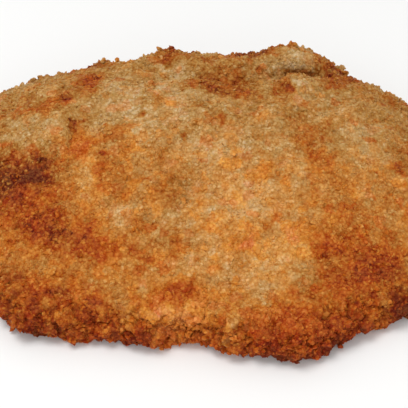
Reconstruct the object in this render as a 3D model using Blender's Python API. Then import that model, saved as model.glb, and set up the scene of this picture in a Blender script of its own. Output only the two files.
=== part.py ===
"""A fried breaded schnitzel, lying on its flat underside: one thick piece of meat in one crust.

Its front is thin and its back is thick. Along the back the meat folds up into a lip, with a valley
in front of it and a crease where the fold closes on itself. The rim is plump and wavy.

Metres, +Z up. X runs along the schnitzel, and its front rim faces -Y. The origin lies under the
middle of its bounding box, on the surface that it rests on.
"""

import bmesh
import bpy
import numpy as np

NAME = "schnitzel"

# The outline, seen from above: a squared ellipse, then pushed out or pulled in.
HALF_LENGTH = 0.079
HALF_WIDTH = 0.057
SQUARENESS = 2.3
# Each lobe is a direction and a half-spread in degrees, and a share of the radius.
OUTLINE_LOBES = {
    "lip at the back": (66, 27, 0.110),
    "shoulder at the back left": (141, 20, 0.075),
    "tip at the front left": (-154, 12, -0.045),
    "corner at the front left": (-137, 11, 0.035),
    "dip in the front": (-101, 14, -0.035),
    "belly at the front right": (-63, 16, 0.085),
    "dip at the front right": (-47, 7, -0.040),
    "corner at the right": (-31, 10, 0.020),
}

# Heights above the surface that it rests on.
RIM_HEIGHT = 0.0055
FRONT_HEIGHT = 0.0165
BACK_HEIGHT = 0.0250
SLOPE_START = -0.050
SLOPE_END = 0.025
RIM_PLUMPNESS = 3.7
FOOT_SHARE = 0.945

# Each mound is a place (x, y), a reach along x and along y, and a height. A hollow is negative.
MOUNDS = {
    "crown": (0.004, 0.020, 0.040, 0.030, 0.0030),
    "left shoulder": (-0.048, 0.022, 0.022, 0.022, 0.0030),
    "lump beside the crease": (0.031, 0.0345, 0.009, 0.005, 0.0030),
    "left summit of the lip": (-0.013, 0.052, 0.009, 0.010, 0.0020),
    "notch in the lip": (0.010, 0.055, 0.011, 0.012, -0.0040),
    "right summit of the lip": (0.031, 0.052, 0.010, 0.010, 0.0026),
}

# Each fold runs from one x to another and fades in and out over FADE. It has a reach across and
# a height, and its middle line is a base y, plus a bow (y at its middle) of a given x and reach.
FADE = 0.014
FOLDS = {
    "lip": dict(x_from=-0.036, x_to=0.046, y=0.052, bow=0.0, bow_x=0.0, bow_reach=0.02,
                reach=0.009, height=0.0050),
    "valley": dict(x_from=-0.024, x_to=0.050, y=0.0415, bow=-0.0060, bow_x=0.010, bow_reach=0.020,
                   reach=0.0050, height=-0.0050),
    "crease": dict(x_from=0.008, x_to=0.046, y=0.0410, bow=0.0012, bow_x=0.026, bow_reach=0.008,
                   reach=0.0038, height=-0.0048),
}

# Unevenness: how long the bumps are and how high, on the top and along the rim.
TOP_BUMPS = ((0.024, 0.00045, 14), (0.012, 0.00025, 15))
RIM_BUMPS = ((0.021, 0.00070, 21), (0.011, 0.00055, 22))
RIM_BUMPS_START = 0.60

# The ball that the solid is pressed from: its meridians, its rings, and which ring ends up at the
# rim and which at the edge of the flat foot.
MERIDIANS = 108
RINGS = 44
RIM_RING = 35
FOOT_RING = 40

CRUST_COLOUR = (0.44, 0.156, 0.038, 1.0)
CRUST_ROUGHNESS = 0.75


def rise(value, start, end):
    """A smooth step from 0 at start to 1 at end."""
    share = np.clip((value - start) / (end - start), 0.0, 1.0)
    return share * share * (3.0 - 2.0 * share)


def bell(distance, reach):
    """A bell curve: 1 at no distance, and about a third at the reach."""
    return np.exp(-((distance / reach) ** 2))


def bumps(points, size, seed, waves=48):
    """Even-sided soft bumps of about one size: many cosine waves whose directions are random."""
    random = np.random.default_rng(seed)
    directions = random.normal(size=(waves, 3))
    directions /= np.linalg.norm(directions, axis=1, keepdims=True)
    lengths = size * random.uniform(0.75, 1.35, waves)
    phases = random.uniform(0.0, 2.0 * np.pi, waves)
    angles = points @ (directions * (2.0 * np.pi / lengths)[:, None]).T + phases
    return np.sqrt(2.0 / waves) * np.cos(angles).sum(axis=-1)


def outline_radius(direction):
    """The distance from the middle to the outline in a direction: a squared ellipse with lobes."""
    along = np.abs(np.cos(direction)) / HALF_LENGTH
    across = np.abs(np.sin(direction)) / HALF_WIDTH
    radius = (along**SQUARENESS + across**SQUARENESS) ** (-1.0 / SQUARENESS)
    share = np.ones_like(direction)
    for lobe_direction, spread, push in OUTLINE_LOBES.values():
        turn = (np.degrees(direction) - lobe_direction + 180.0) % 360.0 - 180.0
        share += push * bell(turn, spread)
    return radius * share


def fold_height(x, y, x_from, x_to, y_base, bow, bow_x, bow_reach, reach, height):
    """A ridge or groove along a gently bowed line, fading out at both ends."""
    ends = rise(x, x_from, x_from + FADE) * (1.0 - rise(x, x_to - FADE, x_to))
    line = y_base + bow * bell(x - bow_x, bow_reach)
    return height * ends * bell(y - line, reach)


def top_height(x, y):
    """The height of the upper side: a slope from front to back, with its mounds and folds."""
    height = FRONT_HEIGHT + (BACK_HEIGHT - FRONT_HEIGHT) * rise(y, SLOPE_START, SLOPE_END)
    for mound_x, mound_y, reach_x, reach_y, mound_height in MOUNDS.values():
        height = height + mound_height * bell(x - mound_x, reach_x) * bell(y - mound_y, reach_y)
    for fold in FOLDS.values():
        shape = {key: value for key, value in fold.items() if key != "y"}
        height = height + fold_height(x, y, y_base=fold["y"], **shape)
    return height


def pressed(ball):
    """The points of a unit ball, pressed into the schnitzel.

    The upper rings spread out to the outline and take the upper side's height, which falls to the
    rim as a squared ellipse does. The rings under the rim turn in along a quarter round to the
    foot, and the last ones lie flat on the surface that it rests on.
    """
    direction = np.arctan2(ball[:, 1], ball[:, 0])
    ring = RINGS * np.arccos(np.clip(ball[:, 2], -1.0, 1.0)) / np.pi
    above = np.clip(ring / RIM_RING, 0.0, 1.0) * np.pi / 2.0
    below = np.clip((ring - RIM_RING) / (FOOT_RING - RIM_RING), 0.0, 1.0) * np.pi / 2.0
    inside = np.clip((RINGS - ring) / (RINGS - FOOT_RING), 0.0, 1.0)
    reach = np.sin(above) * (1.0 - (1.0 - FOOT_SHARE) * (1.0 - np.cos(below))) * inside

    radius = outline_radius(direction) * reach
    flat = np.stack([radius * np.cos(direction), radius * np.sin(direction), 0.0 * radius], axis=1)
    top = top_height(flat[:, 0], flat[:, 1])
    for size, height, seed in TOP_BUMPS:
        top = top + height * bumps(flat, size, seed)
    swell = np.sqrt(np.clip(1.0 - np.sin(above) ** RIM_PLUMPNESS, 0.0, 1.0))
    level = RIM_HEIGHT + (top - RIM_HEIGHT) * swell - RIM_HEIGHT * np.sin(below)
    level = np.where(ring > FOOT_RING - 0.5, 0.0, level)

    waviness = sum(height * bumps(flat, size, seed) for size, height, seed in RIM_BUMPS)
    radius = radius + waviness * rise(reach, RIM_BUMPS_START, 1.0)
    return np.stack([radius * np.cos(direction), radius * np.sin(direction), level], axis=1)


def crust_material():
    """The browned crust in one plain colour."""
    material = bpy.data.materials.new("browned_crust")
    material.use_nodes = True
    shader = material.node_tree.nodes["Principled BSDF"]
    shader.inputs["Base Color"].default_value = CRUST_COLOUR
    shader.inputs["Roughness"].default_value = CRUST_ROUGHNESS
    shader.inputs["Metallic"].default_value = 0.0
    return material


def build_schnitzel(collection):
    """A ball, pressed into shape and centred, with its flat foot as one face."""
    mesh = bpy.data.meshes.new(NAME)
    form = bmesh.new()
    bmesh.ops.create_uvsphere(form, u_segments=MERIDIANS, v_segments=RINGS, radius=1.0)
    points = pressed(np.array([vertex.co for vertex in form.verts]))
    middle = (points.min(axis=0) + points.max(axis=0)) / 2.0
    middle[2] = 0.0
    for vertex, point in zip(form.verts, points - middle):
        vertex.co = point
    foot = [face for face in form.faces if max(vertex.co.z for vertex in face.verts) <= 0.0]
    bmesh.ops.dissolve_faces(form, faces=foot, use_verts=True)
    bmesh.ops.recalc_face_normals(form, faces=form.faces)
    form.to_mesh(mesh)
    form.free()

    schnitzel = bpy.data.objects.new(NAME, mesh)
    schnitzel.data.materials.append(crust_material())
    collection.objects.link(schnitzel)
    return schnitzel


def main():
    for leftover in list(bpy.data.objects):
        bpy.data.objects.remove(leftover)
    collection = bpy.data.collections.new("fried_schnitzel")
    bpy.context.scene.collection.children.link(collection)
    build_schnitzel(collection)


main()
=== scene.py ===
# %% [markdown]
# # A fried schnitzel, crumb by crumb
#
# The real thing is one thick piece of meat in a crust of breadcrumbs that was fried golden. What
# the eye reads is the crust: a fused layer of crumbs, paler where it was shielded from the fat and
# brown where it lay in it, with loose crumbs on top and ragged clumps along the rim.
#
# It could be made as one mesh with a bumpy material, but then its edge against the table would be
# smooth, and a crust is ragged. So the crust is a fine closed surface with real relief, and the
# crumbs are small solids half sunk in it. Their colours come from one browning field, so that a
# crumb and the crust under it are always toasted alike.

import itertools
import math

import bpy
import numpy as np
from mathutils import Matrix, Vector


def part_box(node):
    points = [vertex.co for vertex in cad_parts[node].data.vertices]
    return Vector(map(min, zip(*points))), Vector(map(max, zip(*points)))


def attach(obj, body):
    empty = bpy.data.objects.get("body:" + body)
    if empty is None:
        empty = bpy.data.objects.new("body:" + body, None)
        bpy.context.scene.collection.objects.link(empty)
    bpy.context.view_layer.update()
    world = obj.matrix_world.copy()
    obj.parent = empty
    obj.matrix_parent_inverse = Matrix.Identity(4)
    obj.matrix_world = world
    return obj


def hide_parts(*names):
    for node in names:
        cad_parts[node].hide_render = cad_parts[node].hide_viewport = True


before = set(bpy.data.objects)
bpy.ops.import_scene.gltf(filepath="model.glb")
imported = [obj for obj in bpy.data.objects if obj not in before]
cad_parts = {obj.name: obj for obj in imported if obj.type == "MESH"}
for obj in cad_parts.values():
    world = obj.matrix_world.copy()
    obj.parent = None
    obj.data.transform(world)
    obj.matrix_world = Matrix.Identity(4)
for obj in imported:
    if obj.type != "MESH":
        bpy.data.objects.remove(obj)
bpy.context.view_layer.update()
low, high = (np.array(corner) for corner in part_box("schnitzel"))
print("schnitzel from", low.round(4), "to", high.round(4))

# %% [markdown]
# ## Soft shapes
#
# Four small tools make every swell, hollow and bump. `rise` is a step with a soft start and end,
# `plateau` a rise and a fall, `bell` a soft hill, and `bumps` unevenness with no direction of its
# own. Blender's noise textures could do the last one, but only inside a material; here the same
# numbers have to move vertices, so the bumps are a sum of cosine waves in random directions.

# %% Soft shapes
def rise(value, start, end):
    """A smooth step from 0 at start to 1 at end: 3 times the squared share less twice its cube."""
    share = np.clip((value - start) / (end - start), 0.0, 1.0)
    return share * share * (3.0 - 2.0 * share)


def plateau(value, start, top, fade, end):
    """1 between top and fade, 0 outside start and end: a rise times one minus a second rise."""
    return rise(value, start, top) * (1.0 - rise(value, fade, end))


def bell(distance, reach):
    """A bell curve, e to the minus square of distance over reach: about a third at the reach."""
    return np.exp(-((distance / reach) ** 2))


def bumps(points, size, seed, waves=48):
    """Soft bumps about one size long: the sum of cosine waves with random directions and phases."""
    random = np.random.default_rng(seed)
    directions = random.normal(size=(waves, 3))
    directions /= np.linalg.norm(directions, axis=1, keepdims=True)
    lengths = size * random.uniform(0.75, 1.35, waves)
    phases = random.uniform(0.0, 2.0 * np.pi, waves)
    angles = points @ (directions * (2.0 * np.pi / lengths)[:, None]).T + phases
    return np.sqrt(2.0 / waves) * np.cos(angles).sum(axis=-1)


# %% [markdown]
# ## The form under the crust
#
# A schnitzel is a pounded piece of meat, so its outline is nearly an ellipse with squared corners,
# pushed out and pulled in here and there. From the side it is a slope: thin in front, thick at the
# back, where the meat folded up into a lip while it fried. These are the named sizes that the
# solid model is made from, because the crust has to follow it.

# %% The named sizes of the form
HALF_LENGTH = 0.079
HALF_WIDTH = 0.057
SQUARENESS = 2.3
# Each lobe is a direction and a half-spread in degrees, and a share of the radius.
OUTLINE_LOBES = {
    "lip at the back": (66, 27, 0.11),
    "shoulder at the back left": (141, 20, 0.075),
    "tip at the front left": (-154, 12, -0.045),
    "corner at the front left": (-137, 11, 0.035),
    "dip in the front": (-101, 14, -0.035),
    "belly at the front right": (-63, 16, 0.085),
    "dip at the front right": (-47, 7, -0.04),
    "corner at the right": (-31, 10, 0.02),
}
RIM_HEIGHT = 0.0055
FRONT_HEIGHT = 0.0165
BACK_HEIGHT = 0.025
SLOPE_START = -0.05
SLOPE_END = 0.025
RIM_PLUMPNESS = 3.7
FOOT_SHARE = 0.945
# Each mound is a place (x, y), a reach along x and along y, and a height. A hollow is negative.
MOUNDS = {
    "crown": (0.004, 0.02, 0.04, 0.03, 0.003),
    "left shoulder": (-0.048, 0.022, 0.022, 0.022, 0.003),
    "lump beside the crease": (0.031, 0.0345, 0.009, 0.005, 0.003),
    "left summit of the lip": (-0.013, 0.052, 0.009, 0.01, 0.002),
    "notch in the lip": (0.01, 0.055, 0.011, 0.012, -0.004),
    "right summit of the lip": (0.031, 0.052, 0.01, 0.01, 0.0026),
}
# Each fold runs from one x to another. Its middle line is a base y plus a bow: y, place and reach.
FADE = 0.014
FOLDS = {
    "lip": dict(x_from=-0.036, x_to=0.046, y=0.052, bow=0.0, bow_x=0.0, bow_reach=0.02,
                reach=0.009, height=0.005),
    "valley": dict(x_from=-0.024, x_to=0.05, y=0.0415, bow=-0.006, bow_x=0.01, bow_reach=0.02,
                   reach=0.005, height=-0.005),
    "crease": dict(x_from=0.008, x_to=0.046, y=0.041, bow=0.0012, bow_x=0.026, bow_reach=0.008,
                   reach=0.0038, height=-0.0048),
}
TOP_BUMPS = ((0.024, 0.00045, 14), (0.012, 0.00025, 15))
RIM_BUMPS = ((0.021, 0.0007, 21), (0.011, 0.00055, 22))
RIM_BUMPS_START = 0.6
print(len(OUTLINE_LOBES), "lobes,", len(MOUNDS), "mounds,", len(FOLDS), "folds")


# %% The outline and the height of the upper side
def outline_radius(direction):
    """The distance from the middle to the outline: a squared ellipse, times one plus its lobes."""
    along = np.abs(np.cos(direction)) / HALF_LENGTH
    across = np.abs(np.sin(direction)) / HALF_WIDTH
    radius = (along**SQUARENESS + across**SQUARENESS) ** (-1.0 / SQUARENESS)
    share = np.ones_like(direction)
    for lobe_direction, spread, push in OUTLINE_LOBES.values():
        turn = (np.degrees(direction) - lobe_direction + 180.0) % 360.0 - 180.0
        share += push * bell(turn, spread)
    return radius * share


def fold_line(x, fold):
    """The y of a fold's middle line at each x: its base y plus one bell-shaped bow."""
    return fold["y"] + fold["bow"] * bell(x - fold["bow_x"], fold["bow_reach"])


def fold_ends(x, fold):
    """1 along the fold, fading to 0 at both ends."""
    return plateau(x, fold["x_from"], fold["x_from"] + FADE, fold["x_to"] - FADE, fold["x_to"])


def top_height(x, y):
    """A slope from front to back, plus a bell for each mound and a bell across each fold's line."""
    height = FRONT_HEIGHT + (BACK_HEIGHT - FRONT_HEIGHT) * rise(y, SLOPE_START, SLOPE_END)
    for mound_x, mound_y, reach_x, reach_y, mound_height in MOUNDS.values():
        height = height + mound_height * bell(x - mound_x, reach_x) * bell(y - mound_y, reach_y)
    for fold in FOLDS.values():
        across_fold = bell(y - fold_line(x, fold), fold["reach"])
        height = height + fold["height"] * fold_ends(x, fold) * across_fold
    return height


middle_top = top_height(np.array(0.0), np.array(0.0))
print("top of the middle at", (middle_top * 1000).round(1), "mm")


# %% [markdown]
# ## The surface as a function of two parameters
#
# A ball pressed flat is the natural grid, but a ball has poles, where its cells shrink to slivers.
# So a square grid is stretched over the top and round the rim instead: the square is bent into a
# disc, and the disc's radius runs along the cross-section, from the middle of the top over the rim
# to the edge of the flat foot. Steps along that section are made even, so that the steep rim gets
# as many cells as the gentle top.

# %% The smooth surface
# The reach and the height over the rim of the one section that sets the steps for all of them.
TYPICAL_REACH = 0.066
TYPICAL_HEIGHT = 0.016


def section_steps(count=400):
    """Where each even share of the way along a typical section lies on its two quarter turns."""
    turn = np.linspace(0.0, 2.0, count)
    above = np.clip(turn, 0.0, 1.0) * np.pi / 2.0
    below = np.clip(turn - 1.0, 0.0, 1.0) * np.pi / 2.0
    radius = TYPICAL_REACH * np.sin(above) * (1.0 - (1.0 - FOOT_SHARE) * (1.0 - np.cos(below)))
    swell = np.sqrt(1.0 - np.sin(above) ** RIM_PLUMPNESS)
    level = RIM_HEIGHT + TYPICAL_HEIGHT * swell - RIM_HEIGHT * np.sin(below)
    way = np.concatenate([[0.0], np.cumsum(np.hypot(np.diff(radius), np.diff(level)))])
    return way / way[-1], turn


def smooth_surface(share, direction):
    """The form at a share of the way from the top's middle to the foot, in a direction.

    Above the rim, the reach is the sine of the first quarter turn and the height falls from the
    top's height as a squared ellipse does. Below the rim, a second quarter turn leads to the foot.
    """
    turn = np.interp(share, *section_steps())
    above = np.clip(turn, 0.0, 1.0) * np.pi / 2.0
    below = np.clip(turn - 1.0, 0.0, 1.0) * np.pi / 2.0
    reach = np.sin(above) * (1.0 - (1.0 - FOOT_SHARE) * (1.0 - np.cos(below)))
    radius = outline_radius(direction) * reach
    flat = np.stack([radius * np.cos(direction), radius * np.sin(direction), 0.0 * radius], axis=-1)
    top = top_height(flat[..., 0], flat[..., 1])
    for size, height, seed in TOP_BUMPS:
        top = top + height * bumps(flat, size, seed)
    swell = np.sqrt(np.clip(1.0 - np.sin(above) ** RIM_PLUMPNESS, 0.0, 1.0))
    level = RIM_HEIGHT + (top - RIM_HEIGHT) * swell - RIM_HEIGHT * np.sin(below)
    waviness = sum(height * bumps(flat, size, seed) for size, height, seed in RIM_BUMPS)
    radius = radius + waviness * rise(reach, RIM_BUMPS_START, 1.0)
    return np.stack([radius * np.cos(direction), radius * np.sin(direction), level], axis=-1)


# %% The grid of the top, the rim and its underside
COLUMNS, ROWS = 302, 234
across, down = np.meshgrid(np.linspace(-1.0, 1.0, COLUMNS), np.linspace(-1.0, 1.0, ROWS))
disc_x = across * np.sqrt(1.0 - down**2 / 2.0)
disc_y = down * np.sqrt(1.0 - across**2 / 2.0)
share = np.hypot(disc_x, disc_y)
form = smooth_surface(share, np.arctan2(disc_y, disc_x))
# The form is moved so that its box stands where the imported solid's box stands.
form_middle = (form.min(axis=(0, 1)) + form.max(axis=(0, 1))) / 2.0
shift = (low + high) / 2.0 - form_middle
shift[2] = 0.0
form = form + shift
print("form", form.shape, "shifted by", (shift * 1000).round(2), "mm")


# %% [markdown]
# ## Relief of the crust
#
# Wet breading takes crumbs in clumps. On the rim, which drips and gets pressed, the clumps are
# large and stand proud with dark crevices between them; on top they are low. Each clump is the
# rounded cap around a random centre, a pattern that is often called cellular noise. A sculpted or
# displaced mesh would do too, but the same pattern is needed again for the colours.

# %% Pebbles: the caps around random centres
# The random centres repeat after this many cells, too far apart for the eye to find them again.
LATTICE = 32
CLUMP_SIZE = 0.0062
KNOT_SIZE = 0.0028
GRAIN_SIZE = 0.0014


def pebbles(points, size, seed):
    """At each point: the cap height, the gap to the next cap and three random values of the centre.

    Each cube of a lattice of that size holds one centre at a random place. The cap is one minus
    the square of the distance to the nearest centre over the size. The gap is how much farther
    the second nearest centre is, so it is 0 halfway between two centres: there runs a crevice.
    """
    table = np.random.default_rng(seed).random((LATTICE, LATTICE, LATTICE, 6))
    cell = np.floor(points / size).astype(int)
    nearest = np.full(points.shape[:-1], np.inf)
    second = np.full(points.shape[:-1], np.inf)
    values = np.zeros(points.shape)
    for step in itertools.product((-1, 0, 1), repeat=3):
        corner = cell + np.array(step)
        entry = table[tuple(np.moveaxis(corner % LATTICE, -1, 0))]
        distance = np.linalg.norm(corner + entry[..., :3] - points / size, axis=-1)
        values = np.where((distance < nearest)[..., None], entry[..., 3:], values)
        second = np.minimum(second, np.maximum(nearest, distance))
        nearest = np.minimum(nearest, distance)
    return 1.0 - np.clip(nearest, 0.0, 1.0) ** 2, second - nearest, np.moveaxis(values, -1, 0)


def ragged(points, size, amount, seed):
    """Points pushed about by bumps of one size: a pattern read there comes out ragged, not round."""
    push = [bumps(points, size, seed + axis, 24) for axis in range(3)]
    return points + amount * np.stack(push, axis=-1)


def normals_of(grid):
    """The outward normal at each grid point: the cross product of its neighbours' differences."""
    normal = np.cross(np.gradient(grid, axis=1), np.gradient(grid, axis=0))
    return normal / np.maximum(np.linalg.norm(normal, axis=-1, keepdims=True), 1e-12)


def lumps(points):
    """The clump and the knot that each point belongs to, read at places pushed about by bumps."""
    torn = ragged(points, 0.0036, 0.0007, 35)
    return pebbles(torn, CLUMP_SIZE, 31), pebbles(torn, KNOT_SIZE, 32)


print("clumps, knots and grains of", CLUMP_SIZE * 1000, KNOT_SIZE * 1000, GRAIN_SIZE * 1000, "mm")


# %% The scallops of the rim
# Each scallop is a direction and a half-spread in degrees, and how far it stands out.
SCALLOPS = {
    "nick behind the left tip": (-142, 2.5, -0.001),
    "left front corner": (-135, 4.0, 0.002),
    "front left clump": (-123, 3.0, 0.0022),
    "nick in the front left": (-115, 2.5, -0.0014),
    "front clumps": (-104, 6.0, 0.0014),
    "nick in the front": (-89, 3.5, -0.002),
    "front right belly": (-69, 4.5, 0.002),
    "nick in the belly": (-57, 3.0, -0.0018),
    "clump beside the belly": (-48, 2.2, 0.0016),
    "right front clump": (-42, 2.6, 0.0016),
    "right back clump": (33, 2.5, 0.0018),
    "nick at the lip's end": (46, 1.8, -0.0012),
    "lip's end": (51, 2.2, 0.002),
    "clump behind the lip": (61, 2.4, 0.0016),
    "dent behind the lip": (72, 4.5, -0.0022),
    "clumps left of the lip": (93, 2.2, 0.0016),
    "back crest": (103, 3.2, 0.0022),
    "dent in the back": (112, 2.5, -0.0012),
    "back left clump": (122, 2.2, 0.0018),
    "dent at the back left": (136, 2.2, -0.0018),
    "shoulder dent": (143, 3.0, -0.0022),
    "left shoulder clump": (150, 3.0, 0.0026),
}

local = form - shift
x, y = local[..., 0], local[..., 1]
direction = np.degrees(np.arctan2(y, x))
scallop = sum(push * bell((direction - toward + 180.0) % 360.0 - 180.0, spread)
              for toward, spread, push in SCALLOPS.values())
from_middle = np.linalg.norm(local[..., :2], axis=-1, keepdims=True)
outward = local[..., :2] / np.maximum(from_middle, 1e-9)
form[..., :2] += outward * (scallop * rise(share, 0.5, 0.8))[..., None]
rim_share = rise(share, 0.7, 0.86)
foot_share = rise(share, 0.955, 1.0)
print("rim pushed by", (scallop.min() * 1000).round(1), "to", (scallop.max() * 1000).round(1), "mm")

# %% The lip, the crease, the blister and the lump
# The lip leans forward over a crease. Its gap is open between the inner two of these x and closed
# outside the outer two; to the left and the right of the gap, breading fills the crease.
LIP_LEAN = 0.0022
CREASE_OPEN = (0.024, 0.03, 0.032, 0.038)
CREASE_DEPTH = 0.0034
CREASE_REACH = 0.002
CREASE_FILL = 0.0034
SHOULDER_DROP = 0.0014
# The blister ends in a broken edge at its right and the lump in one at its left, each at an x.
BLISTER_HEIGHT = 0.001
BLISTER_EDGE = -0.0405
LUMP_HEIGHT = 0.0012
LUMP_EDGE = 0.025

behind_crease = y - fold_line(x, FOLDS["crease"])
along_crease = plateau(x, *CREASE_OPEN)
form[..., 1] -= LIP_LEAN * along_crease * bell(behind_crease - 0.004, 0.0023)
gap = bell(behind_crease + 0.0002, CREASE_REACH)
form[..., 2] -= CREASE_DEPTH * along_crease * gap * (1.0 - rim_share)
filled = bell(x - 0.013, 0.01) + 0.5 * bell(x - 0.042, 0.006)
form[..., 2] += CREASE_FILL * filled * bell(behind_crease, 0.005)
# In front, the top turns down into the rim more softly than the solid's does.
form[..., 2] -= SHOULDER_DROP * bell(share - 0.66, 0.09) * (1.0 - rise(y, -0.03, 0.01))
# The blister: skin raised towards a broken edge, and crust laid bare in a dip beside it.
past_edge = x - BLISTER_EDGE
skin = 1.0 - 2.0 * rise(past_edge, -0.0004, 0.0006)
form[..., 2] += BLISTER_HEIGHT * skin * bell(past_edge, 0.005) * bell(y - 0.0055, 0.007)
# The lump under the lip: a pale cap whose left edge stands over a brown trough.
past_edge = x - LUMP_EDGE
cap = rise(past_edge, -0.0003, 0.0006) * bell(past_edge - 0.002, 0.0065)
form[..., 2] += LUMP_HEIGHT * cap * bell(y - 0.027, 0.0045)
print("form with crease and blister up to", (form[..., 2].max() * 1000).round(1), "mm")


# %% Clumps, knots and grains
# The height of each size of lump on top, and how much higher it is on the rim.
CLUMP_HEIGHT = (0.0008, 0.002)
KNOT_HEIGHT = (0.0006, 0.00045)
GRAIN_HEIGHT = (0.00034, 0.0001)
CREVICE_DEPTH = 0.0008
# Soft unevenness: a size, a height and a seed.
CRUST_BUMPS = ((0.008, 0.00022, 34), (0.003, 0.00014, 38))


def lump_height(heights, own, cap, base):
    """The cap over its base, times a height that grows towards the rim, times the lump's own share."""
    on_top, more_on_rim = heights
    return (on_top + more_on_rim * rim_share) * own * (cap - base)


# They are low on top, and on the rim they stand proud with crevices between them.
(clump, clump_gap, clump_values), (knot, _, knot_values) = lumps(form)
grain = pebbles(form, GRAIN_SIZE, 33)[0]
relief = lump_height(CLUMP_HEIGHT, 0.2 + 1.3 * clump_values[0], clump, 0.6)
relief += lump_height(KNOT_HEIGHT, 0.2 + 1.5 * knot_values[0], knot, 0.5)
relief += lump_height(GRAIN_HEIGHT, 1.0, grain, 0.5)
relief += sum(height * bumps(form, size, seed) for size, height, seed in CRUST_BUMPS)
relief -= CREVICE_DEPTH * rim_share * (1.0 - rise(clump_gap, 0.0, 0.2))
crust = form + normals_of(form) * (relief * (1.0 - foot_share))[..., None]
crust[..., 2] = np.maximum(crust[..., 2], 0.0)
crust_normal = normals_of(crust)
print("relief from", (relief.min() * 1000).round(2), "to", (relief.max() * 1000).round(2), "mm")


# %% [markdown]
# ## The underside
#
# The schnitzel lies on its crumbs, not on a polished face. So the underside is a shallow ceiling
# just above the table, closed from the rim's lower edge inwards by rings that shrink to the middle,
# and the crumbs that are sown on it later reach down to the table.

# %% The rings of the underside
RINGS = 26
CEILING = 0.0008


def around_edge(grid):
    """The edge of a grid as one closed line: first row, last column, last row, first column."""
    return np.concatenate([grid[0, :-1], grid[:-1, -1], grid[-1, :0:-1], grid[:0:-1, 0]])


border = around_edge(crust)
inward = np.linspace(1.0, 0.0, RINGS + 1)[1:-1, None, None]
underside = border[None] * inward
ceiling_share = 1.0 + 0.35 * bumps(underside, 0.012, 41)
underside[..., 2] = CEILING * ceiling_share * rise(1.0 - inward[..., 0], 0.0, 0.06)
underside[..., 2] = np.maximum(underside[..., 2], 0.0)
print("underside", underside.shape, "up to", (underside[..., 2].max() * 1000).round(2), "mm")


# %% [markdown]
# ## Meshes from arrays
#
# A mesh can be built face by face, which is easy to follow but slow for a hundred thousand points.
# Blender also takes whole arrays: the points, the corners of all faces in a row, and where each face
# starts in that row. Every piece here is made that way, with its map and its browning values.

# %% Meshes from arrays
def mesh_object(name, points, faces, corner_uv, values, smooth=True):
    """A mesh from arrays: faces is a list of (count, corners) index arrays, values are per point.
    """
    corners = np.concatenate([part.ravel() for part in faces])
    sizes = np.concatenate([np.full(len(part), part.shape[1]) for part in faces])
    mesh = bpy.data.meshes.new(name)
    mesh.vertices.add(len(points))
    mesh.vertices.foreach_set("co", points.astype(np.float32).ravel())
    mesh.loops.add(len(corners))
    mesh.loops.foreach_set("vertex_index", corners.astype(np.int32))
    mesh.polygons.add(len(sizes))
    mesh.polygons.foreach_set("loop_start", (np.cumsum(sizes) - sizes).astype(np.int32))
    mesh.polygons.foreach_set("use_smooth", np.full(len(sizes), smooth))
    mesh.update(calc_edges=True)
    mesh.uv_layers.new(name="OFBake").data.foreach_set("uv", corner_uv.astype(np.float32).ravel())
    for value_name, value in values.items():
        attribute = mesh.attributes.new(value_name, "FLOAT", "POINT")
        attribute.data.foreach_set("value", value.astype(np.float32).ravel())
    piece = bpy.data.objects.new(name, mesh)
    bpy.context.scene.collection.objects.link(piece)
    print(name, len(points), "points,", int((sizes - 2).sum()), "triangles")
    return piece
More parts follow.
